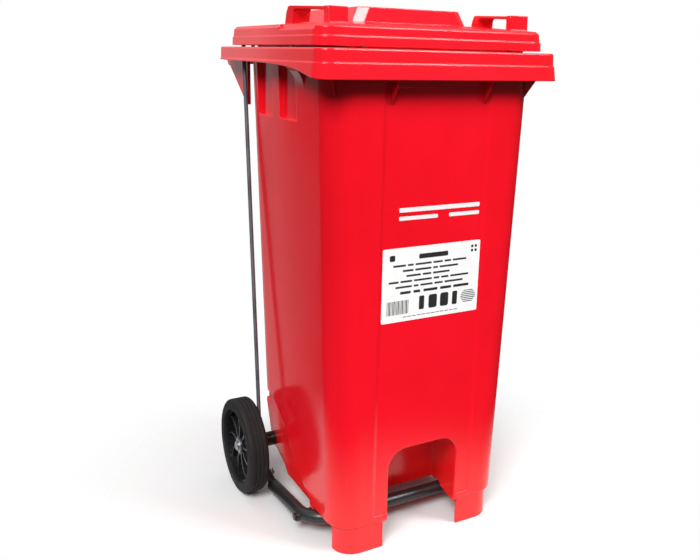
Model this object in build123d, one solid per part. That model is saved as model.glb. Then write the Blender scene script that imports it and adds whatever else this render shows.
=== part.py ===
from build123d import *
import os
from math import cos, radians, sin

# Two-wheeled waste bin with a foot pedal that lifts the lid through two long rods.
# All sizes are millimetres. X runs across the bin, Y from front to back, Z up from the floor.
# While modelling, Y = 0 is the front face of the rim. keep() then centres the bin on its own box.

# Rim and tub
RIM_HALF = 239.0
RIM_DEPTH = 504.0
RIM_TOP = 934.0
RIM_STEP = 911.0
RIM_LOW = 885.0
RIM_FLARE = 4.5
WALL = 4.0
TUB_HALF = 210.0
SIDE_TAPER = 0.029
FRONT_SETBACK = 22.4
FRONT_TAPER = 0.023
TUB_REAR = 423.0
TUB_BOTTOM = 51.0
FLOOR = 14.0
CORNER = 50.0
LEDGE = 9.0
PANEL_SETBACK = 2.5
PANEL_HALF = 108.0
CURB = 8.0

# Lower rear of the tub: sloping floor over the axle and the recess beside each wheel
SLOPE_FOOT = (302.0, 51.0)
SLOPE_HEAD = (423.0, 182.0)
RECESS_HALF = 176.4

# Foot niche and front feet
NICHE_HALF = 74.0
NICHE_HALF_BACK = 93.0
NICHE_TOP = 196.0
NICHE_BACK = 155.0
FOOT_IN = 85.0
FOOT_OUT = 172.5
FOOT_FRONT = 46.5
FOOT_BACK = 88.0

# Lid
LID_HALF = 229.0
LID_FRONT = 26.0
LID_REAR = 463.0
LID_LOW = 937.5
LID_STEP = 953.0
LID_EDGE = 967.5
LID_SHOULDER = 972.5
LID_CROWN = 979.0
LID_WALL = 3.0
PANEL_TOP = 1006.0
LABEL_X = 0.3
STRAP_X = 177.3
STRAP_TURN = 5.7
HINGE_Y = 520.0
HINGE_Z = 938.0
HINGE_R = 5.0

# Wheels and axle
WHEEL_Y = 379.0
WHEEL_R = 100.0
WHEEL_IN = 223.0
WHEEL_OUT = 265.0
HUB_R = 78.0
AXLE_R = 10.0
RUN = 0.08

# Pedal hoop, its pivot and the lift rods
PIVOT_Z = 35.0
PEDAL_Z = 41.0
PEDAL_Y = 124.0
ARM_END = 322.0
ARM_DROP = 0.1
PIVOT_Y = 166.0
ROD_Y = 350.0
ARM_X = 201.0
TUBE_R = 13.0
BEND_R = 60.0
BOLT_R = 5.0
BUSH_R = 8.0
BOSS_R = 10.0
BOSS_IN = 180.6
BOSS_OUT = 214.9
ROD_X = 217.0
ROD_R = 4.0
HOOK_Y = 415.0
HOOK_Z = 955.0

# Rear grips
GRIP_Y = 528.0
GRIP_Z = 912.0
GRIP_R = 13.0
GRIP_ARM_R = 16.0

DEPTH_MIDDLE = (GRIP_Y + GRIP_ARM_R - RIM_FLARE) / 2


def keep(node, shape):
    """Centres the shape on the bin's own box and writes it."""
    placed = Pos(0, -DEPTH_MIDDLE, 0) * shape
    placed.label = node
    export_step(placed, "parts/" + node + ".step")


def both_sides(shape):
    """The shape and its mirror image across the middle plane, as separate solids."""
    return Compound(children=[shape, mirror(shape, Plane.YZ)])


def box(x0, x1, y0, y1, z0, z1):
    size = Box(x1 - x0, y1 - y0, z1 - z0)
    return Pos((x0 + x1) / 2, (y0 + y1) / 2, (z0 + z1) / 2) * size


def side_plate(points, x0, x1):
    """A plate with the given (y, z) outline, from x0 to x1."""
    face = make_face(Polyline(*[(0, y, z) for y, z in points], close=True))
    return Pos(x0, 0, 0) * extrude(face, amount=x1 - x0, dir=(1, 0, 0))


def cross_plate(points, y0, y1):
    """A plate with the given (x, z) outline, from y0 to y1."""
    face = make_face(Polyline(*[(x, 0, z) for x, z in points], close=True))
    return Pos(0, y0, 0) * extrude(face, amount=y1 - y0, dir=(0, 1, 0))


def rod_x(radius, x0, x1, y, z):
    """A round bar along X."""
    return Pos((x0 + x1) / 2, y, z) * Rot(0, 90, 0) * Cylinder(radius, x1 - x0)


def outline(half, y0, y1, front_r, rear_r, z):
    """A rectangle with rounded corners, at height z."""
    flat = Rectangle(2 * half, y1 - y0)
    flat = fillet(flat.vertices().group_by(Axis.Y)[0], front_r)
    flat = fillet(flat.vertices().group_by(Axis.Y)[-1], rear_r)
    return Pos(0, (y0 + y1) / 2, z) * flat


def tub_half(z):
    return TUB_HALF + SIDE_TAPER * (z - RIM_TOP)


def tub_front(z):
    return FRONT_SETBACK + FRONT_TAPER * (RIM_TOP - z)


def tub_block(z0, z1, inset=0.0):
    """The tapered body of the tub between two heights."""
    ends = []
    for z in (z0, z1):
        ends.append(outline(tub_half(z) - inset, tub_front(z) + inset, TUB_REAR - inset,
                            CORNER - inset, CORNER - inset, z))
    return loft(ends, ruled=True)


def slope_cut(inset=0.0):
    """What the sloping floor takes away below the rear of the tub."""
    rise = (SLOPE_HEAD[1] - SLOPE_FOOT[1]) / (SLOPE_HEAD[0] - SLOPE_FOOT[0])
    y0 = SLOPE_FOOT[0] - inset
    z0 = SLOPE_FOOT[1] + inset / 2
    y1 = RIM_DEPTH
    z1 = z0 + rise * (y1 - y0)
    points = [(y0 - 40, -10), (y0 - 40, z0 - 40 * rise), (y0, z0), (y1, z1), (y1, -10)]
    return side_plate(points, -300, 300)


def recess_cut(inset=0.0):
    """The shallow recess in each side, ahead of and above the wheel."""
    curve = Spline((0, 362, 214), (0, 311, 184), (0, 262, 144), (0, 214, 95), (0, 170, 64), (0, 128, 50))
    rest = Polyline((0, 128, 50), (0, 60, 20), (0, 60, -10), (0, 480, -10), (0, 480, 214), (0, 362, 214))
    face = make_face(curve + rest)
    face = Pos(RECESS_HALF - inset, -0.7 * inset, 0.8 * inset) * face
    cut = extrude(face, amount=60, dir=(1, 0, 0))
    return cut + mirror(cut, Plane.YZ)


def niche_cut(inset=0.0):
    """The arched niche for the shoe, a little wider at its back than at its mouth."""
    ends = []
    for y, half in ((0.0, NICHE_HALF - 5.4), (NICHE_BACK + inset, NICHE_HALF_BACK)):
        flat = Rectangle(2 * (half + inset), NICHE_TOP + inset + 20)
        flat = fillet(flat.vertices().group_by(Axis.Y)[-1], 37 + inset)
        ends.append(Plane.XZ.offset(-y) * Pos(0, (NICHE_TOP + inset - 20) / 2) * flat)
    return loft(ends, ruled=True)


def niche_flare():
    """The softened edge round the niche's mouth."""
    ends = []
    for y, grow in ((34.0, 9.0), (41.5, 3.0), (44.5, 1.2), (49.0, 0.0)):
        half = NICHE_HALF - 5.4 + (NICHE_HALF_BACK - NICHE_HALF + 5.4) * y / NICHE_BACK + grow
        flat = Rectangle(2 * half, NICHE_TOP + grow + 20)
        flat = fillet(flat.vertices().group_by(Axis.Y)[-1], 37 + grow)
        ends.append(Plane.XZ.offset(-y) * Pos(0, (NICHE_TOP + grow - 20) / 2) * flat)
    return loft(ends, ruled=True)


def pocket_cuts(inset=0.0):
    """Two shallow pockets under the rim on each side."""
    cuts = []
    for y0, y1 in ((170.0, 248.0), (288.0, 360.0)):
        cut = box(200 - inset, 240, y0 - inset, y1 + inset, 807 - inset, RIM_TOP + 10)
        cuts += [cut, mirror(cut, Plane.YZ)]
    return cuts


def panel_cut(inset=0.0):
    """The front panel between the corner pilasters, set back 2.5 mm with sloping sides."""
    ends = []
    for z in (70.0, 872.0):
        face = tub_front(z) + inset
        half = PANEL_HALF + inset / 2
        ends.append(Pos(0, 0, z) * make_face(Polyline(
            (-half - 3, face - 10), (-half - 3, face - 0.01), (-half + 4, face + PANEL_SETBACK),
            (half - 4, face + PANEL_SETBACK), (half + 3, face - 0.01), (half + 3, face - 10), close=True)))
    return loft(ends, ruled=True)


def rim():
    """The rim: a flared skirt, hollow below, whose lower edge rises towards the back."""
    low = loft([outline(RIM_HALF + RIM_FLARE, -RIM_FLARE, RIM_DEPTH, 28, 16, RIM_LOW),
                outline(RIM_HALF + 1.5, -1.5, RIM_DEPTH, 26, 15, RIM_STEP)], ruled=True)
    top = loft([outline(RIM_HALF, 0, RIM_DEPTH, 25, 15, RIM_STEP),
                outline(RIM_HALF - 1, 1, RIM_DEPTH, 24, 14, RIM_TOP)], ruled=True)
    top = fillet(top.faces().sort_by(Axis.Z)[-1].edges(), 3.5)
    inside = loft([outline(RIM_HALF + RIM_FLARE - WALL, WALL - RIM_FLARE, RIM_DEPTH - WALL, 24, 12, RIM_LOW - 1),
                   outline(RIM_HALF - 1 - WALL, WALL + 1, RIM_DEPTH - WALL, 20, 10, RIM_TOP - WALL)], ruled=True)
    curve = Spline((0, -20, RIM_LOW), (0, 0, RIM_LOW), (0, 82, 897), (0, 166, 904), (0, 290, 907),
                   (0, 520, 910))
    rest = Polyline((0, 520, 910), (0, 520, 860), (0, -20, 860), (0, -20, RIM_LOW))
    under = Pos(-300, 0, 0) * extrude(make_face(curve + rest), amount=600, dir=(1, 0, 0))
    return low + top - inside - under


def curb():
    """A low upright curb round the mouth, inside the lid's skirt, that keeps rain out."""
    half = TUB_HALF - WALL - LEDGE + 1
    y0 = FRONT_SETBACK + WALL + LEDGE - 1
    y1 = TUB_REAR - WALL - LEDGE + 1
    outer = extrude(outline(half + 3, y0 - 3, y1 + 3, 43, 43, 0), amount=CURB + 1)
    inner = extrude(outline(half - 1, y0 + 1, y1 - 1, 40, 40, 0), amount=CURB + 1)
    return Pos(0, 0, RIM_TOP - 1) * (outer - inner)


def flare(base, foot, reach, top, thick):
    """A curved gusset in the XZ plane that widens from the wall up to the rim, centred on Y = 0."""
    curve = Spline((base, 0, foot), (base + 4, 0, foot + (top - foot) * 0.45), (reach, 0, top))
    rest = Polyline((reach, 0, top), (reach, 0, RIM_TOP - WALL / 2), (base - 4, 0, RIM_TOP - WALL / 2),
                    (base - 4, 0, foot), (base, 0, foot))
    return Pos(0, -thick / 2, 0) * extrude(make_face(curve + rest), amount=thick, dir=(0, 1, 0))


def under_rim_ribs():
    """Gussets that carry the rim: thin ones in front and at the corners, the side columns' flared heads."""
    ribs = []
    head = RIM_TOP - WALL / 2
    front = side_plate([(2, head), (0, RIM_LOW + 2), (tub_front(845) + 1, 845), (tub_front(head) + 2, head)], 93, 97)
    ribs += [front, mirror(front, Plane.YZ)]
    for y, thick in ((150.0, 36.0), (268.0, 38.0), (372.0, 22.0)):
        plate = Pos(0, y, 0) * flare(tub_half(862), 862, RIM_HALF - 3, 906, thick)
        ribs += [plate, mirror(plate, Plane.YZ)]
    corner = cross_plate([(46, 850), (76, 896), (76, head), (46, head)], -2, 2)
    corner = Pos(tub_half(900) - CORNER, tub_front(900) + CORNER, 0) * Rot(0, 0, -45) * corner
    ribs += [corner, mirror(corner, Plane.YZ)]
    for x in (30.0, 150.0):
        points = [(RIM_DEPTH - 2, head), (RIM_DEPTH - 2, 912), (TUB_REAR - 1, 850), (TUB_REAR - 2, head)]
        plate = side_plate(points, x - 2, x + 2)
        ribs += [plate, mirror(plate, Plane.YZ)]
    return ribs


def rear_arms():
    """Arms behind the rim: the outer pair carry the grips, the inner ones the lid's hinge pins too."""
    arms = []
    head = RIM_TOP - WALL / 2
    outer = side_plate([(416, head), (GRIP_Y, 926), (537, 905), (445, 837), (TUB_REAR, 821), (416, 821)], 203, 209)
    outer += rod_x(GRIP_ARM_R, 203, 209, GRIP_Y, GRIP_Z)
    arms += [outer, mirror(outer, Plane.YZ)]
    for x in (56.0, 92.0):
        arm = side_plate([(RIM_DEPTH - 3, 932), (HINGE_Y, HINGE_Z + 12), (540, GRIP_Z), (GRIP_Y, GRIP_Z - 15),
                          (430, 850), (TUB_REAR - 1, 850), (TUB_REAR - 1, 900), (RIM_DEPTH - 3, 912)], x, x + 5)
        arm += rod_x(12.5, x, x + 5, HINGE_Y, HINGE_Z)
        arm += rod_x(GRIP_ARM_R, x, x + 5, GRIP_Y, GRIP_Z)
        arm -= rod_x(HINGE_R, x - 1, x + 6, HINGE_Y, HINGE_Z)
        arms += [arm, mirror(arm, Plane.YZ)]
    grip = rod_x(GRIP_R, 58, 206, GRIP_Y, GRIP_Z)
    arms += [grip, mirror(grip, Plane.YZ)]
    return arms


def feet():
    """Thin-walled front feet that wrap round the corner pilasters."""
    outer = Polyline((FOOT_IN, FOOT_FRONT), (FOOT_OUT - 40, FOOT_FRONT))
    outer += ThreePointArc((FOOT_OUT - 40, FOOT_FRONT),
                           (FOOT_OUT - 40 + 40 * sin(radians(45)), FOOT_FRONT + 40 - 40 * cos(radians(45))),
                           (FOOT_OUT, FOOT_FRONT + 40))
    outer += Polyline((FOOT_OUT, FOOT_FRONT + 40), (FOOT_OUT, FOOT_BACK), (FOOT_OUT - 6, FOOT_BACK),
                      (FOOT_OUT - 6, FOOT_FRONT + 40))
    outer += ThreePointArc((FOOT_OUT - 6, FOOT_FRONT + 40),
                           (FOOT_OUT - 40 + 34 * sin(radians(45)), FOOT_FRONT + 40 - 34 * cos(radians(45))),
                           (FOOT_OUT - 40, FOOT_FRONT + 6))
    outer += Polyline((FOOT_OUT - 40, FOOT_FRONT + 6), (FOOT_IN, FOOT_FRONT + 6), (FOOT_IN, FOOT_FRONT))
    foot = extrude(make_face(outer), amount=TUB_BOTTOM + 3)
    return [foot, mirror(foot, Plane.YZ)]


def axle_ribs():
    """Ribs below the sloping floor with holes for the axle."""
    ribs = []
    for x in (RECESS_HALF - 5, 92.0, 12.0):
        rib = side_plate([(312, 63), (345, 76), (365, 84), (393, 90), (397, 110), (421, 176), (418, 182),
                          (330, 86)], x, x + 5)
        rib += rod_x(18, x, x + 5, WHEEL_Y, WHEEL_R)
        rib -= rod_x(AXLE_R, x - 1, x + 6, WHEEL_Y, WHEEL_R)
        ribs += [rib, mirror(rib, Plane.YZ)]
    return ribs


def pivot_lugs():
    """Lugs under the floor that hold the pedal's pivot bolts."""
    lug = side_plate([(PIVOT_Y - 12, TUB_BOTTOM + 3), (PIVOT_Y - 10, PIVOT_Z - 6), (PIVOT_Y - 4, PIVOT_Z - 11),
                      (PIVOT_Y + 4, PIVOT_Z - 11), (PIVOT_Y + 11, PIVOT_Z - 6), (PIVOT_Y + 16, TUB_BOTTOM + 3)],
                     170, 178)
    lug -= rod_x(BOLT_R, 169, 179, PIVOT_Y, PIVOT_Z)
    return [lug, mirror(lug, Plane.YZ)]


def hoop_path():
    """The bent line of the pedal hoop: level across the front, its arms dropping slightly to the back."""
    rear = PEDAL_Z - ARM_DROP * (ARM_END - PEDAL_Y)
    return FilletPolyline((-ARM_X, ARM_END, rear), (-ARM_X, PEDAL_Y, PEDAL_Z), (ARM_X, PEDAL_Y, PEDAL_Z),
                          (ARM_X, ARM_END, rear), radius=BEND_R)


def hoop_solid(radius):
    """A round bar of the given radius along the hoop's line."""
    path = hoop_path()
    start = Plane(origin=path @ 0, z_dir=path % 0)
    return sweep(start * Circle(radius), path=path)


def tub():
    """The whole tub is one moulding."""
    outer = tub_block(TUB_BOTTOM, RIM_TOP)
    outer = chamfer(outer.faces().sort_by(Axis.Z)[0].edges(), 7.0)
    outer -= slope_cut()
    outer -= recess_cut()
    for cut in pocket_cuts():
        outer -= cut
    outer -= panel_cut()
    outer -= niche_cut()
    outer -= niche_flare()
    inner = tub_block(TUB_BOTTOM + FLOOR, RIM_TOP + 5, WALL)
    inner -= slope_cut(WALL)
    inner -= recess_cut(WALL)
    inner -= niche_cut(WALL)
    for cut in pocket_cuts(WALL):
        inner -= cut
    inner -= panel_cut(WALL)
    ledge = loft([outline(TUB_HALF - 2, FRONT_SETBACK + 2, TUB_REAR - 2, CORNER, CORNER, RIM_TOP - 6),
                  outline(TUB_HALF, FRONT_SETBACK, TUB_REAR, CORNER, CORNER, RIM_TOP)], ruled=True)
    inset = WALL + LEDGE
    mouth = outline(TUB_HALF - inset, FRONT_SETBACK + inset, TUB_REAR - inset, 40, 40, RIM_TOP - 20)
    mouth = extrude(mouth, amount=40)
    shape = outer - inner
    shape += rim()
    for rib in under_rim_ribs():
        shape += rib
    for arm in rear_arms():
        shape += arm
    shape += ledge
    shape -= mouth
    for foot in feet():
        shape += foot
    for rib in axle_ribs():
        shape += rib
    for lug in pivot_lugs():
        shape += lug
    shape -= hoop_solid(TUBE_R + 4)
    shape += curb()
    slot = box(ROD_X - 5.5, ROD_X + 5.5, HOOK_Y - 9, HOOK_Y + 53, RIM_TOP - 60, RIM_TOP + 1)
    shape -= slot
    shape -= mirror(slot, Plane.YZ)
    return shape


def lid_block(inset=0.0):
    """The lid's outer form: stepped upright sides, rounded corners, a soft shoulder and a low crown."""
    block = None
    tiers = ((LID_LOW, LID_STEP, 0.0, 0.6), (LID_STEP, LID_EDGE, 2.0, 3.2), (LID_EDGE, LID_SHOULDER, 3.2, 7.5),
             (LID_SHOULDER, LID_CROWN, 7.5, 75.0))
    for z0, z1, in0, in1 in tiers:
        ends = []
        for z, cut in ((z0, in0), (z1, in1)):
            level = z - (inset if z > LID_LOW else 0.0)
            ends.append(outline(LID_HALF - inset - cut, LID_FRONT + inset + cut, LID_REAR - inset - cut,
                                26 - inset, 20 - inset, level))
        tier = loft(ends, ruled=True)
        block = tier if block is None else block + tier
    return block


def lid_panel(inset=0.0):
    """The raised panel in the middle of the lid, with sloping sides."""
    ends = []
    for z, grow in ((LID_CROWN - 10, 0.0), (PANEL_TOP - inset, -18.0)):
        half = 123.0 + grow - inset
        y0 = 120.0 - grow / 3 + inset
        y1 = 405.0 + grow - inset
        flat = Polyline((half - 18, y0), (half, y0 + 12), (half, y1), (-half, y1), (-half, y0 + 12),
                        (18 - half, y0), close=True)
        ends.append(Pos(0, 0, z) * make_face(flat))
    return loft(ends, ruled=True)


def strap_handle():
    """A thin strap grip near the lid's front corner: ribbed front leg, wedge-shaped rear leg."""
    outer = side_plate([(50, 968), (53, 990), (57, 997.5), (62, 999), (184, 1004), (193, 1003), (200, 992),
                        (207, 968)], 0, 33)
    inner = side_plate([(70, 960), (70, 991), (73, 994.5), (170, 998.5), (174, 995), (179, 960)], -1, 34)
    bridge = outer - inner
    for y in (52.5, 60.0, 67.5):
        bridge += box(-0.8, 33.8, y - 1.6, y + 1.6, 968, 1000)
    turned = Rot(0, 0, -STRAP_TURN) * Pos(-16.5, 0, 0) * bridge
    return Pos(STRAP_X, 0, 0) * turned


def lid_arms():
    """The two hinge arms that reach back over the rim, each with an eye for its pin."""
    arms = []
    points = [(455, 945), (LID_REAR - 2, LID_LOW + 1), (HINGE_Y - 8, LID_LOW + 1), (HINGE_Y, HINGE_Z - 12),
              (HINGE_Y + 12, HINGE_Z), (HINGE_Y + 6, HINGE_Z + 11), (LID_REAR + 8, 972), (455, 972)]
    arm = side_plate(points, 62, 91)
    arm += rod_x(12, 62, 91, HINGE_Y, HINGE_Z)
    arm -= side_plate([(467, 941), (503, 941), (503, 950), (467, 968)], 67, 86)
    arm -= rod_x(HINGE_R + RUN, 61, 92, HINGE_Y, HINGE_Z)
    return [arm, mirror(arm, Plane.YZ)]


def rod_lugs():
    """Slotted lugs under the lid that the hooked tops of the lift rods run in."""
    lug = side_plate([(HOOK_Y - 15, 946), (HOOK_Y + 30, 946), (HOOK_Y + 34, 971), (HOOK_Y - 19, 971)], 197, 203)
    slot = box(196, 204, HOOK_Y - 1, HOOK_Y + 17, HOOK_Z - 6, HOOK_Z + 8)
    slot += rod_x(7, 196, 204, HOOK_Y + 17, HOOK_Z + 1)
    slot += rod_x(7, 196, 204, HOOK_Y - 0.5, HOOK_Z + 1)
    lug -= slot
    return [lug, mirror(lug, Plane.YZ)]


def lid():
    """The lid is one moulding: shell, raised panel, strap grips, hinge arms and rod lugs."""
    shape = lid_block() + lid_panel()
    hollow = lid_block(LID_WALL) + lid_panel(LID_WALL)
    hollow += Pos(0, 0, LID_LOW - 5) * extrude(outline(LID_HALF - LID_WALL, LID_FRONT + LID_WALL,
                                                       LID_REAR - LID_WALL, 23, 17, 0), amount=6)
    block = lid_block()
    shape -= hollow
    scoop = cross_plate([(LID_HALF + 5, 963), (LID_HALF - 3, 963), (LID_HALF - 24, 984), (LID_HALF + 5, 984)],
                        50, 204)
    floor = cross_plate([(LID_HALF, 960), (LID_HALF - 4, 960), (LID_HALF - 27, 981), (LID_HALF - 24, 984),
                         (LID_HALF - 3, 963), (LID_HALF, 963)], 47, 207)
    for side in (scoop, mirror(scoop, Plane.YZ)):
        shape -= side
    for side in (floor, mirror(floor, Plane.YZ)):
        shape += side & block
    strap = strap_handle() - lid_block(LID_WALL - 1)
    shape += strap
    shape += mirror(strap, Plane.YZ)
    for arm in lid_arms():
        shape += arm - hollow
    for lug in rod_lugs():
        shape += lug
    return shape


def label():
    """The thin sticker on the front panel."""
    middle = 524.0
    y = tub_front(middle) + PANEL_SETBACK
    lean = 57.29578 * FRONT_TAPER
    sheet = Box(207, 0.3, 138)
    sheet = fillet(sheet.edges().filter_by(Axis.Y), 3)
    return Pos(LABEL_X, y - 0.16, middle) * Rot(lean, 0, 0) * sheet


def hinge_pins():
    """Headed pins through the tub's lugs and the lid's eyes."""
    pin = rod_x(HINGE_R, 54, 99, HINGE_Y, HINGE_Z) + rod_x(8, 51, 55.9, HINGE_Y, HINGE_Z)
    pin += rod_x(6.2, 97.1, 99.5, HINGE_Y, HINGE_Z)
    return both_sides(pin)


def rim_buffers():
    """Rubber pads on the rim's ledge that the closed lid sits on."""
    pads = []
    for side in (-1, 1):
        for x, y in ((150.0, 27.6), (227.5, 140.0), (227.5, 330.0)):
            pads.append(Pos(side * x, y, RIM_TOP + 1.7) * Cylinder(3.5, 3.4))
    return Compound(children=pads)


def axle():
    """The steel axle across the back, grooved near each end for the wheel clips."""
    bar = rod_x(AXLE_R, -263, 263, WHEEL_Y, WHEEL_R)
    bar = chamfer(bar.edges().filter_by(GeomType.CIRCLE), 1.5)
    for side in (-1, 1):
        groove = rod_x(AXLE_R + 1, side * 258 - 0.6, side * 258 + 0.6, WHEEL_Y, WHEEL_R)
        groove -= rod_x(AXLE_R - 1.2, side * 258 - 0.6, side * 258 + 0.6, WHEEL_Y, WHEEL_R)
        bar -= groove
    return bar


def axle_spacers():
    """Black sleeves that hold each wheel off the tub."""
    sleeve = rod_x(15, RECESS_HALF + 0.1, WHEEL_IN - 0.4, WHEEL_Y, WHEEL_R)
    sleeve -= rod_x(AXLE_R, RECESS_HALF - 1, WHEEL_IN + 1, WHEEL_Y, WHEEL_R)
    return both_sides(sleeve)


def wheel_clips():
    """Spring clips in the axle's grooves, outside each hub."""
    ring = rod_x(14.5, 257.45, 258.55, WHEEL_Y, WHEEL_R)
    ring -= rod_x(AXLE_R - 1.2, 257, 259, WHEEL_Y, WHEEL_R)
    ring -= box(257, 259, WHEEL_Y - 3, WHEEL_Y + 3, WHEEL_R - 20, WHEEL_R)
    return both_sides(ring)


def wheel_washers():
    """Plain washers between each hub and its clip."""
    ring = rod_x(16, 255.8, 257.4, WHEEL_Y, WHEEL_R) - rod_x(AXLE_R, 255, 258, WHEEL_Y, WHEEL_R)
    return both_sides(ring)


def tyre(side):
    """A solid rubber tyre with rounded shoulders and shallow tread grooves."""
    width = WHEEL_OUT - WHEEL_IN
    profile = Rectangle(WHEEL_R - HUB_R, width)
    profile = Pos((WHEEL_R + HUB_R) / 2, 0) * fillet(profile.vertices().group_by(Axis.X)[-1], 7)
    for y in (-8.0, 0.0, 8.0):
        profile -= Pos(WHEEL_R, y) * Rectangle(3.0, 2.0)
    ring = revolve(Plane.XZ * profile, Axis.Z)
    return Pos(side * (WHEEL_IN + WHEEL_OUT) / 2, WHEEL_Y, WHEEL_R) * Rot(0, 90, 0) * ring


def hub(side):
    """The moulded wheel centre: rim band, web, boss and curved spokes on its outer face."""
    band = Cylinder(HUB_R, 35) - Cylinder(HUB_R - 5, 40)
    band += Cylinder(HUB_R - 3, 5)
    band += Pos(0, 0, -1.5) * Cylinder(20, 31)
    for turn in range(9):
        path = ThreePointArc((17, 0), (46, 13), (HUB_R - 4, 4))
        wall = Pos(0, 0, 1) * extrude(make_face(path + Line((HUB_R - 4, 4), (HUB_R - 4, 8)) +
                                                ThreePointArc((HUB_R - 4, 8), (45, 17.5), (15, 4)) +
                                                Line((15, 4), (17, 0))), amount=12)
        band += Rot(0, 0, 40 * turn) * wall
    band = Rot(0, 90, 0) * band
    band = Pos((WHEEL_IN + WHEEL_OUT) / 2 - 2.5, WHEEL_Y, WHEEL_R) * band
    if side < 0:
        band = mirror(band, Plane.YZ)
    return band - rod_x(AXLE_R + RUN, -300, 300, WHEEL_Y, WHEEL_R)


def pedal_hoop():
    """The black tube bent into a U, with a flattened eye at the back of each arm."""
    hoop = hoop_solid(TUBE_R) - hoop_solid(TUBE_R - 2)
    rear = PEDAL_Z - ARM_DROP * (ARM_END - PEDAL_Y)
    for side in (-1, 1):
        x = side * ARM_X
        eye = side_plate([(305, rear - 8), (ROD_Y - 4, 13), (ROD_Y + 5, 18), (ROD_Y + 9, 35), (ROD_Y, 44),
                          (ROD_Y - 12, 42), (305, rear + 10)], x - 3, x + 3)
        plug = Pos(x, ARM_END - 5, rear + 0.5) * Rot(90, 0, 0) * Cylinder(TUBE_R - 0.5, 10)
        hoop += plug
        hoop += eye
        inner, outer = sorted((side * BOSS_IN, side * BOSS_OUT))
        hoop += rod_x(BOSS_R, inner, outer, PIVOT_Y, PIVOT_Z)
        hoop -= rod_x(BUSH_R, inner - 1, outer + 1, PIVOT_Y, PIVOT_Z)
        hoop -= rod_x(ROD_R + RUN, x - 5, x + 5, ROD_Y, PIVOT_Z)
    return hoop


def pivot_bushes():
    """Nylon bushes pressed through the arms."""
    bush = rod_x(BUSH_R, BOSS_IN - 0.2, BOSS_OUT + 0.2, PIVOT_Y, PIVOT_Z)
    bush -= rod_x(BOLT_R + RUN, BOSS_IN - 1, BOSS_OUT + 1, PIVOT_Y, PIVOT_Z)
    return both_sides(bush)


def hexagon(across, x0, x1, y, z):
    """A hexagonal prism along X."""
    flat = RegularPolygon(across / 2, 6, major_radius=False)
    return Pos(x0, y, z) * Rot(0, 90, 0) * extrude(flat, amount=x1 - x0)


def pivot_bolts():
    """Bolts put in from under the tub, heads inboard."""
    bolt = rod_x(BOLT_R, 160, 216.4, PIVOT_Y, PIVOT_Z) + hexagon(16, 160, 168.2, PIVOT_Y, PIVOT_Z)
    return both_sides(bolt)


def pivot_washers():
    """A washer under each bolt head."""
    ring = rod_x(10, 168.3, 169.9, PIVOT_Y, PIVOT_Z) - rod_x(BOLT_R, 168, 171, PIVOT_Y, PIVOT_Z)
    return both_sides(ring)


def pivot_spacers():
    """Short tubes between the tub's lugs and the arms."""
    ring = rod_x(BUSH_R, 178.1, BOSS_IN - 0.3, PIVOT_Y, PIVOT_Z) - rod_x(BOLT_R, 177, 191, PIVOT_Y, PIVOT_Z)
    return both_sides(ring)


def pivot_caps():
    """Push-on caps over the bolts' outer ends."""
    cap = rod_x(7.5, 215.3, 218.6, PIVOT_Y, PIVOT_Z)
    cap = fillet(cap.edges().filter_by(GeomType.CIRCLE).sort_by(Axis.X)[-1], 1.5)
    cap -= rod_x(BOLT_R, 215, 216.5, PIVOT_Y, PIVOT_Z)
    return both_sides(cap)


def lift_rod(side):
    """A galvanised rod with both ends bent inwards, one for the arm's eye and one for the lid's lug."""
    path = FilletPolyline((189, ROD_Y, PIVOT_Z), (ROD_X, ROD_Y, PIVOT_Z), (ROD_X, HOOK_Y, HOOK_Z),
                          (191, HOOK_Y, HOOK_Z), radius=9)
    start = Plane(origin=(189, ROD_Y, PIVOT_Z), z_dir=(1, 0, 0))
    rod = sweep(start * Circle(ROD_R), path=path)
    rod -= Pos(191.5, ROD_Y, PIVOT_Z) * Cylinder(1.2, 20)
    rod -= Pos(193.5, HOOK_Y, HOOK_Z) * Cylinder(1.2, 20)
    return rod if side > 0 else mirror(rod, Plane.YZ)


def rod_washers(side):
    """Washers between the arm's eye and the pin, and between the lid's lug and the pin."""
    low = rod_x(7.5, 195.0, 196.5, ROD_Y, PIVOT_Z) - rod_x(ROD_R, 190, 200, ROD_Y, PIVOT_Z)
    return low if side > 0 else mirror(low, Plane.YZ)


def split_pins(side):
    """Split pins through both ends of a rod."""
    pins = []
    for x, y, z in ((191.5, ROD_Y, PIVOT_Z), (193.5, HOOK_Y, HOOK_Z)):
        pin = Pos(x, y, z) * Cylinder(1.2, 13) + Pos(x, y, z + 7.5) * Rot(0, 90, 0) * Torus(2.0, 1.0)
        pins.append(pin if side > 0 else mirror(pin, Plane.YZ))
    return Compound(children=pins)


def main():
    os.makedirs("parts", exist_ok=True)
    keep("tub", tub())
    keep("lid", lid())
    keep("label", label())
    keep("hinge_pins", hinge_pins())
    keep("rim_buffers", rim_buffers())
    keep("axle", axle())
    keep("axle_spacers", axle_spacers())
    keep("wheel_clips", wheel_clips())
    keep("wheel_washers", wheel_washers())
    keep("pedal_hoop", pedal_hoop())
    keep("pivot_bushes", pivot_bushes())
    keep("pivot_bolts", pivot_bolts())
    keep("pivot_washers", pivot_washers())
    keep("pivot_spacers", pivot_spacers())
    keep("pivot_caps", pivot_caps())
    for name, side in (("left", -1), ("right", 1)):
        keep("tyre_" + name, tyre(side))
        keep("wheel_hub_" + name, hub(side))
        keep("lift_rod_" + name, lift_rod(side))
        keep("rod_washer_" + name, rod_washers(side))
        keep("split_pins_" + name, split_pins(side))


main()
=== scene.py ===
import math

import bmesh
import bpy
from mathutils import Matrix, Vector


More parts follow.
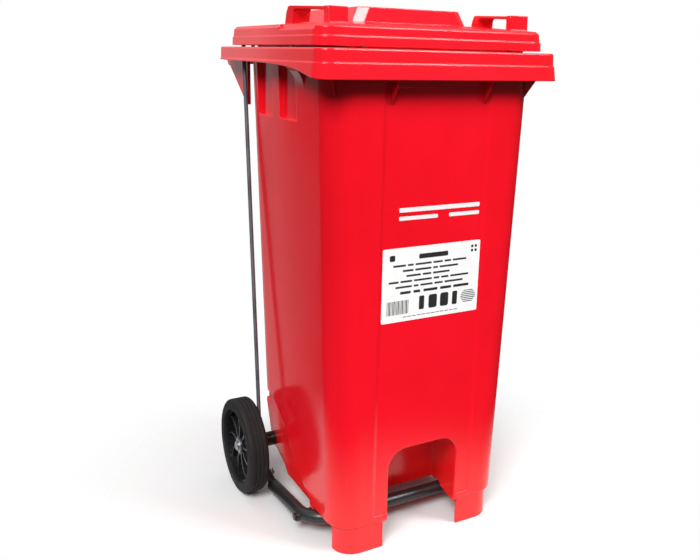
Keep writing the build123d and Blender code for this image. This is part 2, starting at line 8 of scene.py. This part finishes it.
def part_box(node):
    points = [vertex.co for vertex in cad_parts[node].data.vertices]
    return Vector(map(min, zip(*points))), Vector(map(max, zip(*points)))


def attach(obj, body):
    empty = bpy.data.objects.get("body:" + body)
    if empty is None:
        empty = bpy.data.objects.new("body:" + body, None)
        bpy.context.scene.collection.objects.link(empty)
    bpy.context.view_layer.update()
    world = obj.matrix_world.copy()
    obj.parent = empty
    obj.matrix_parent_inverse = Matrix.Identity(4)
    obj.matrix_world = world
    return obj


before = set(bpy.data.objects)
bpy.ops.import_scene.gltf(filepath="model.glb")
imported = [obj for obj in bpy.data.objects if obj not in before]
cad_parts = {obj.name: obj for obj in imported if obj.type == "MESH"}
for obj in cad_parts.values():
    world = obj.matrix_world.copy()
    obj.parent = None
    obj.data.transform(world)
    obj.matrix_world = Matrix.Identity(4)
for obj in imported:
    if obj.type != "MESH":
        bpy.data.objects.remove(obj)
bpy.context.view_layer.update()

# Studio: a pale room with two large soft lights high in front, one to the left and one to the right.
# A bright screen stands at the back left, and its mirror image shows on the tub's side.
# The floor is a pale sheet that fades out, so no edge of it shows.
camera = bpy.data.objects.new("camera", bpy.data.cameras.new("camera"))
bpy.context.scene.collection.objects.link(camera)
bpy.context.scene.camera = camera
turn = math.radians(30.16)
dip = math.radians(12.70)
lean = math.radians(1.38)
forward = Vector((math.sin(turn) * math.cos(dip), math.cos(turn) * math.cos(dip), -math.sin(dip)))
level = Vector((math.cos(turn), -math.sin(turn), 0.0))
rise = level.cross(forward)
across = level * math.cos(lean) + rise * math.sin(lean)
upright = rise * math.cos(lean) - level * math.sin(lean)
placed = Matrix((across, upright, -forward)).transposed().to_4x4()
placed.translation = Vector((-0.760, -1.429, 0.924))
camera.matrix_world = placed
camera.data.lens = 41.32
camera.data.sensor_width = 36.0
camera.data.shift_x = -0.0730
camera.data.shift_y = -0.0616
bpy.context.scene.view_settings.view_transform = "Standard"

room = bpy.data.worlds.new("room")
bpy.context.scene.world = room
room.use_nodes = True
tree = room.node_tree
backdrop = tree.nodes["Background"]


def between(tree, value, low, high, out_low, out_high, smooth=True):
    """The value, mapped from one range to another and held inside it."""
    fitted = tree.nodes.new("ShaderNodeMapRange")
    fitted.interpolation_type = "SMOOTHSTEP" if smooth else "LINEAR"
    fitted.inputs["From Min"].default_value = low
    fitted.inputs["From Max"].default_value = high
    fitted.inputs["To Min"].default_value = out_low
    fitted.inputs["To Max"].default_value = out_high
    tree.links.new(value, fitted.inputs["Value"])
    return fitted.outputs["Result"]


def sums(tree, operation, first, second):
    """One arithmetic step between two values."""
    step = tree.nodes.new("ShaderNodeMath")
    step.operation = operation
    for socket, value in zip(step.inputs, (first, second)):
        if isinstance(value, bpy.types.NodeSocket):
            tree.links.new(value, socket)
        else:
            socket.default_value = value
    return step.outputs["Value"]


looking = tree.nodes.new("ShaderNodeTexCoord")
axes = tree.nodes.new("ShaderNodeSeparateXYZ")
tree.links.new(looking.outputs["Generated"], axes.inputs["Vector"])
bearing = sums(tree, "ARCTAN2", sums(tree, "MULTIPLY", axes.outputs["X"], -1.0), axes.outputs["Y"])
screen_left = math.radians(20.6)
screen_right = math.radians(4.0)
left_edge = between(tree, bearing, screen_left, screen_left + math.radians(0.4), 1.0, 0.0)
right_edge = between(tree, bearing, screen_right - math.radians(10.0), screen_right, 0.0, 1.0)
screen = sums(tree, "MULTIPLY", left_edge, right_edge)
ceiling = between(tree, axes.outputs["Z"], 0.42, 0.75, 0.0, 0.65)
above = between(tree, axes.outputs["Z"], -0.10, 0.02, 0.12, 1.0)
walls = sums(tree, "MULTIPLY", sums(tree, "ADD", ceiling, 0.22), above)
light = sums(tree, "ADD", walls, sums(tree, "MULTIPLY", screen, 0.60))
seen = tree.nodes.new("ShaderNodeLightPath")
shown = sums(tree, "MAXIMUM", light, seen.outputs["Is Camera Ray"])
tree.links.new(shown, backdrop.inputs["Strength"])
backdrop.inputs["Color"].default_value = (1.0, 1.0, 1.0, 1.0)


def soft_light(name, place, target, width, height, power):
    """A rectangular area light, turned to face the target."""
    lamp = bpy.data.lights.new(name, "AREA")
    lamp.shape = "RECTANGLE"
    lamp.size = width
    lamp.size_y = height
    lamp.energy = power
    holder = bpy.data.objects.new(name, lamp)
    bpy.context.scene.collection.objects.link(holder)
    holder.location = place
    holder.rotation_euler = (Vector(target) - Vector(place)).to_track_quat("-Z", "Y").to_euler()
    return holder


soft_light("key_light", (-3.6, -3.5, 5.0), (0.0, -0.1, 0.4), 2.8, 2.8, 540.0)
soft_light("fill_light", (3.3, -3.7, 5.2), (0.0, -0.1, 0.4), 2.2, 2.2, 360.0)


def links(tree, *pairs):
    """Joins each pair of sockets."""
    for source, target in pairs:
        tree.links.new(source, target)


def blank(name):
    """A new material with a Principled shader, and the object's own coordinates to drive its detail."""
    material = bpy.data.materials.new(name)
    material.use_nodes = True
    tree = material.node_tree
    coordinates = tree.nodes.new("ShaderNodeTexCoord")
    return material, tree, tree.nodes["Principled BSDF"], coordinates.outputs["Object"]


def noise(tree, where, scale, detail=3.0, rough=0.5, stretch=None):
    """Noise over the object's coordinates, optionally stretched along an axis."""
    if stretch:
        shift = tree.nodes.new("ShaderNodeMapping")
        shift.inputs["Scale"].default_value = stretch
        tree.links.new(where, shift.inputs["Vector"])
        where = shift.outputs["Vector"]
    grain = tree.nodes.new("ShaderNodeTexNoise")
    grain.inputs["Scale"].default_value = scale
    grain.inputs["Detail"].default_value = detail
    grain.inputs["Roughness"].default_value = rough
    tree.links.new(where, grain.inputs["Vector"])
    return grain.outputs["Fac"]


def shade(tree, amount, colour_a, colour_b):
    """A colour between two others; each is a colour or a socket."""
    mixed = tree.nodes.new("ShaderNodeMix")
    mixed.data_type = "RGBA"
    tree.links.new(amount, mixed.inputs["Factor"])
    for socket, colour in ((mixed.inputs[6], colour_a), (mixed.inputs[7], colour_b)):
        if isinstance(colour, bpy.types.NodeSocket):
            tree.links.new(colour, socket)
        else:
            socket.default_value = (*colour, 1.0)
    return mixed.outputs[2]


def relief(tree, height, distance, strength=1.0, under=None):
    """A bump from a height value, laid over another bump if there is one."""
    bump = tree.nodes.new("ShaderNodeBump")
    bump.inputs["Distance"].default_value = distance
    bump.inputs["Strength"].default_value = strength
    tree.links.new(height, bump.inputs["Height"])
    if under:
        tree.links.new(under, bump.inputs["Normal"])
    return bump.outputs["Normal"]


def finish_node(name, material):
    """Gives a CAD piece its finish."""
    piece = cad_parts[name]
    piece.data.materials.clear()
    piece.data.materials.append(material)
    return piece


floor_paint, tree, skin, where = blank("floor_paint")
skin.inputs["Base Color"].default_value = (0.66, 0.66, 0.66, 1.0)
skin.inputs["Roughness"].default_value = 0.75
skin.inputs["Specular IOR Level"].default_value = 0.2
middle = tree.nodes.new("ShaderNodeVectorMath")
middle.operation = "LENGTH"
tree.links.new(where, middle.inputs[0])
links(tree, (between(tree, middle.outputs["Value"], 0.30, 0.72, 1.0, 0.0), skin.inputs["Alpha"]))
mesh = bpy.data.meshes.new("floor")
shape = bmesh.new()
bmesh.ops.create_circle(shape, cap_ends=True, radius=0.75, segments=96)
shape.to_mesh(mesh)
shape.free()
floor = bpy.data.objects.new("floor", mesh)
bpy.context.scene.collection.objects.link(floor)
mesh.materials.append(floor_paint)

# Tub, lid and hinge pins: injection mouldings in the same red polyethylene, glossy, with rounded edges,
# faint flow marks, a fine orange peel, and light scuffs low down where the bin is knocked.
# Towards the bottom the red is also painted a little more orange, as a painted warm reflection.
red_moulding, tree, skin, where = blank("red_moulding")
cloudy = noise(tree, where, 3.0, 4.0, 0.55)
flow = noise(tree, where, 9.0, 5.0, 0.6, (1.0, 1.0, 0.12))
peel = noise(tree, where, 420.0, 2.0, 0.5)
waves = noise(tree, where, 5.0, 2.0, 0.4, (1.0, 1.0, 0.30))
scratches = noise(tree, where, 60.0, 6.0, 0.7, (1.0, 1.0, 0.06))
height = tree.nodes.new("ShaderNodeSeparateXYZ")
tree.links.new(where, height.inputs["Vector"])
low_down = between(tree, height.outputs["Z"], 0.30, 0.0, 0.0, 1.0)
scuffed = sums(tree, "MULTIPLY", between(tree, scratches, 0.60, 0.72, 0.0, 1.0), low_down)
red = shade(tree, between(tree, cloudy, 0.35, 0.65, 0.0, 1.0), (0.80, 0.0060, 0.0170), (0.72, 0.0050, 0.0130))
red = shade(tree, between(tree, flow, 0.45, 0.75, 0.0, 0.30), red, (0.84, 0.0095, 0.0220))
# Painted warm reflection: the red is painted more orange towards the bottom. The same low mask also places
# the real scuffs.
red = shade(tree, between(tree, low_down, 0.0, 1.0, 0.0, 0.50), red, (0.80, 0.0160, 0.0090))
red = shade(tree, between(tree, scuffed, 0.0, 1.0, 0.0, 0.35), red, (0.82, 0.13, 0.12))
gloss = between(tree, cloudy, 0.3, 0.7, 0.12, 0.19)
gloss = sums(tree, "ADD", gloss, sums(tree, "MULTIPLY", scuffed, 0.35))
links(tree, (gloss, skin.inputs["Roughness"]), (red, skin.inputs["Base Color"]))
rounded = tree.nodes.new("ShaderNodeBevel")
rounded.samples = 6
rounded.inputs["Radius"].default_value = 0.0028
bumps = relief(tree, waves, 0.0012, 0.5, rounded.outputs["Normal"])
bumps = relief(tree, peel, 0.00005, 0.3, bumps)
tree.links.new(bumps, skin.inputs["Normal"])
skin.inputs["IOR"].default_value = 1.47
finish_node("tub", red_moulding)
finish_node("lid", red_moulding)
finish_node("hinge_pins", red_moulding)

# Sticker: a white plastic film, die-cut with rounded corners and pressed on the front panel.
# Its print is black ink in plain bars, blocks and dots, in place of words.
film, tree, skin, where = blank("film")
fibre = noise(tree, where, 90.0, 3.0, 0.5)
links(tree, (shade(tree, fibre, (0.80, 0.80, 0.80), (0.88, 0.88, 0.87)), skin.inputs["Base Color"]),
      (between(tree, fibre, 0.3, 0.7, 0.28, 0.40), skin.inputs["Roughness"]),
      (relief(tree, fibre, 0.0001, 0.3), skin.inputs["Normal"]))
finish_node("label", film)


def ink(name, dark, light):
    """A printing ink with a slightly uneven lay."""
    paint, tree, skin, where = blank(name)
    speckle = noise(tree, where, 500.0, 3.0, 0.6)
    links(tree, (shade(tree, speckle, dark, light), skin.inputs["Base Color"]),
          (between(tree, speckle, 0.3, 0.7, 0.30, 0.50), skin.inputs["Roughness"]),
          (relief(tree, speckle, 0.00005, 0.3), skin.inputs["Normal"]))
    return paint


panel_lean = 0.023


def print_marks(name, middle, marks, paint):
    """Printed patches on the leaning front panel: each is (across, up, width, height) in millimetres."""
    shape = bmesh.new()
    for across_mm, up_mm, wide, tall in marks:
        ring = []
        corner = min(wide, tall) * 0.22
        for sx, sy, start in ((1, 1, 0), (-1, 1, 90), (-1, -1, 180), (1, -1, 270)):
            for step in range(4):
                angle = math.radians(start + 30 * step)
                x = across_mm + sx * (wide / 2 - corner) + corner * math.cos(angle)
                z = up_mm + sy * (tall / 2 - corner) + corner * math.sin(angle)
                ring.append(shape.verts.new(middle + Vector((x, -panel_lean * z, z)) * 0.001))
        face = shape.faces.new(ring)
        face.normal_update()
        if face.normal.y > 0:
            face.normal_flip()
    sheet = bpy.data.meshes.new(name)
    shape.to_mesh(sheet)
    shape.free()
    printed = bpy.data.objects.new(name, sheet)
    bpy.context.scene.collection.objects.link(printed)
    sheet.materials.append(paint)
    thick = printed.modifiers.new("thickness", "SOLIDIFY")
    thick.thickness = 0.00004
    thick.offset = -1.0
    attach(printed, "bin")


low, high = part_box("label")
sheet_middle = (low + high) / 2 + Vector((0.0, -0.00022, 0.0))
marks = [(2, 50, 62, 9), (-84, 51, 11, 11), (86, 58, 5, 5), (94, 58, 5, 5), (86, 50, 5, 5), (94, 50, 5, 5)]
for row, (start, pieces) in enumerate(((-82, (26, 12, 34, 20, 14, 30)), (-62, (22, 34, 10, 40)),
                                       (-54, (30, 18, 36)), (-90, (20, 24, 38, 12, 16, 40)),
                                       (-76, (34, 10, 26, 18, 40)))):
    place = start
    for wide in pieces:
        marks.append((place + wide / 2, 36 - 10 * row, wide, 3.6))
        place += wide + 4
for place, wide in ((-66, 22), (-38, 14), (-17, 30), (19, 24), (48, 34)):
    marks.append((place + wide / 2, -15, wide, 5.0))
marks += [(-20, -38, 11, 26), (4, -38, 18, 26), (29, -38, 18, 26), (52, -38, 11, 26)]
for bar in range(16):
    marks.append((-92 + 2.9 * bar, -42, 1.0 + 0.9 * ((bar * 7) % 3) / 2, 26))
for bar in range(7):
    marks.append((82, -27 - 3.6 * bar, 34 - 2.2 * abs(bar - 3) ** 1.6, 1.6))
for bar in range(12):
    marks.append((-55 + 10 * bar, -61, 8, 1.3))
print_marks("sticker_print", sheet_middle, marks, ink("black_ink", (0.012, 0.012, 0.013), (0.03, 0.03, 0.03)))

# Print on the tub: one long pale bar and two short ones above the sticker.
# They are white foil, hot-stamped on the front panel.
stamp_rise = 0.131
stamp_middle = Vector((0.012, sheet_middle.y - panel_lean * stamp_rise + 0.0001, sheet_middle.z + stamp_rise))
print_marks("stamped_print", stamp_middle, [(0, 6, 170, 8), (-45, -9, 80, 7), (52, -9, 66, 7)],
            ink("white_foil", (0.72, 0.70, 0.70), (0.85, 0.84, 0.84)))

# Rim pads: small discs of black soft rubber, moulded and pressed on the rim's ledge.
# The closed lid rests on them.
soft_rubber, tree, skin, where = blank("soft_rubber")
grain = noise(tree, where, 260.0, 4.0, 0.6)
links(tree, (shade(tree, grain, (0.012, 0.012, 0.013), (0.03, 0.03, 0.031)), skin.inputs["Base Color"]),
      (between(tree, grain, 0.3, 0.7, 0.38, 0.62), skin.inputs["Roughness"]),
      (relief(tree, grain, 0.0002, 0.3), skin.inputs["Normal"]))
finish_node("rim_buffers", soft_rubber)

# Axle, bolts, washers, spacers, clips and split pins: turned or pressed steel.
# All have a thin bright zinc plating.
zinc, tree, skin, where = blank("zinc")
spangle = tree.nodes.new("ShaderNodeTexVoronoi")
spangle.inputs["Scale"].default_value = 320.0
tree.links.new(where, spangle.inputs["Vector"])
patches = noise(tree, where, 40.0, 4.0, 0.6)
links(tree, (shade(tree, spangle.outputs["Distance"], (0.36, 0.37, 0.39), (0.52, 0.53, 0.54)),
             skin.inputs["Base Color"]),
      (between(tree, patches, 0.3, 0.7, 0.25, 0.45), skin.inputs["Roughness"]),
      (relief(tree, patches, 0.0003, 0.3), skin.inputs["Normal"]))
skin.inputs["Metallic"].default_value = 1.0
for name in ("axle", "wheel_clips", "wheel_washers", "pivot_bolts", "pivot_washers", "pivot_spacers",
             "rod_washer_left", "rod_washer_right", "split_pins_left", "split_pins_right"):
    finish_node(name, zinc)

# Lift rods: drawn steel wire, bent to hooks at both ends.
# The galvanised skin is dull grey and faintly streaked along the wire.
dull_wire, tree, skin, where = blank("dull_wire")
streaks = noise(tree, where, 240.0, 4.0, 0.6, (1.0, 1.0, 0.02))
patches = noise(tree, where, 22.0, 4.0, 0.6)
grey = shade(tree, between(tree, patches, 0.35, 0.65, 0.0, 1.0), (0.10, 0.115, 0.135), (0.15, 0.165, 0.185))
grey = shade(tree, between(tree, streaks, 0.45, 0.75, 0.0, 0.5), grey, (0.22, 0.235, 0.25))
links(tree, (grey, skin.inputs["Base Color"]),
      (between(tree, patches, 0.3, 0.7, 0.42, 0.60), skin.inputs["Roughness"]),
      (relief(tree, streaks, 0.0002, 0.3), skin.inputs["Normal"]))
skin.inputs["Metallic"].default_value = 0.55
finish_node("lift_rod_left", dull_wire)
finish_node("lift_rod_right", dull_wire)

# Wheel centres, axle sleeves, bushes and caps: black plastic with a satin skin.
# All are injection moulded, and pressed or slid on the steel.
black_moulding, tree, skin, where = blank("black_moulding")
grain = noise(tree, where, 120.0, 4.0, 0.55)
links(tree, (shade(tree, grain, (0.005, 0.005, 0.006), (0.012, 0.012, 0.013)), skin.inputs["Base Color"]),
      (between(tree, grain, 0.3, 0.7, 0.24, 0.38), skin.inputs["Roughness"]),
      (relief(tree, grain, 0.0002, 0.25), skin.inputs["Normal"]))
skin.inputs["Specular IOR Level"].default_value = 0.36
for name in ("wheel_hub_left", "wheel_hub_right", "axle_spacers", "pivot_bushes", "pivot_caps"):
    finish_node(name, black_moulding)

# Tyres: solid rings of black rubber, moulded and pressed on the hubs.
# They are matt, with a little dust in patches.
tread_rubber, tree, skin, where = blank("tread_rubber")
grain = noise(tree, where, 300.0, 4.0, 0.6)
dust = noise(tree, where, 30.0, 5.0, 0.6)
worn = shade(tree, grain, (0.007, 0.006, 0.0065), (0.014, 0.012, 0.013))
worn = shade(tree, between(tree, dust, 0.50, 0.80, 0.0, 0.30), worn, (0.045, 0.040, 0.037))
links(tree, (worn, skin.inputs["Base Color"]),
      (between(tree, dust, 0.3, 0.7, 0.62, 0.85), skin.inputs["Roughness"]),
      (relief(tree, grain, 0.0003, 0.4), skin.inputs["Normal"]))
skin.inputs["Specular IOR Level"].default_value = 0.28
finish_node("tyre_left", tread_rubber)
finish_node("tyre_right", tread_rubber)

# Pedal hoop: a steel tube bent to a U, with an eye welded in each end.
# It is coated in satin black.
black_coat, tree, skin, where = blank("black_coat")
grain = noise(tree, where, 160.0, 4.0, 0.55)
links(tree, (shade(tree, grain, (0.008, 0.008, 0.009), (0.018, 0.018, 0.019)), skin.inputs["Base Color"]),
      (between(tree, grain, 0.3, 0.7, 0.28, 0.42), skin.inputs["Roughness"]),
      (relief(tree, grain, 0.0002, 0.3), skin.inputs["Normal"]))
finish_node("pedal_hoop", black_coat)
